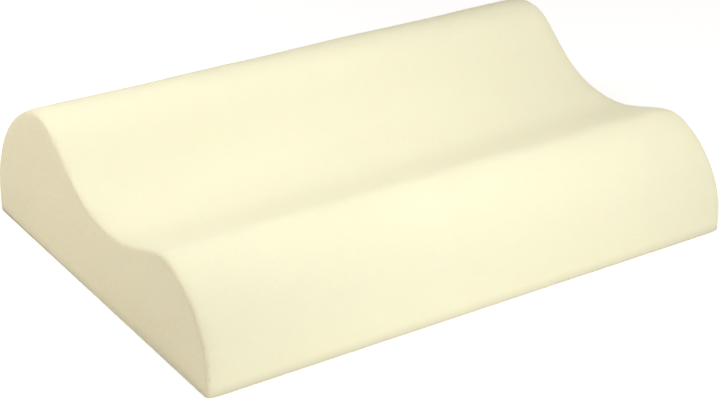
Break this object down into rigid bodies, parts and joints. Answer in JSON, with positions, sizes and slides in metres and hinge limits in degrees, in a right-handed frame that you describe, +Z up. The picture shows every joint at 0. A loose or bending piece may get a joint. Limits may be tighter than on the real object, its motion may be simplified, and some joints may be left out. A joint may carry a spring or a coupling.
{
  "type": "contour bed pillow",
  "caption": "Bare moulded foam contour pillow with a tall rear lobe, a low front lobe and a shallow valley between them.",
  "frame": {"origin": "on the underside, under the middle of the overall width and depth", "axes": "+X along the pillow's width, +Y from the low front lobe to the tall rear lobe, +Z up from the underside"},
  "size_m": [0.5, 0.338, 0.115],
  "materials": {
    "foam": "open-cell slow-recovery foam, dull and porous",
    "skin_upper": "bare moulded foam skin, ivory, matte, with a fine even grain",
    "skin_base": "bare moulded foam skin, ivory, matte, flat and slightly coarser"
  },
  "bodies": {
    "root": {"foam_core": "foam", "moulded_skin_upper": "skin_upper", "moulded_skin_base": "skin_base"}
  },
  "joints": []
}
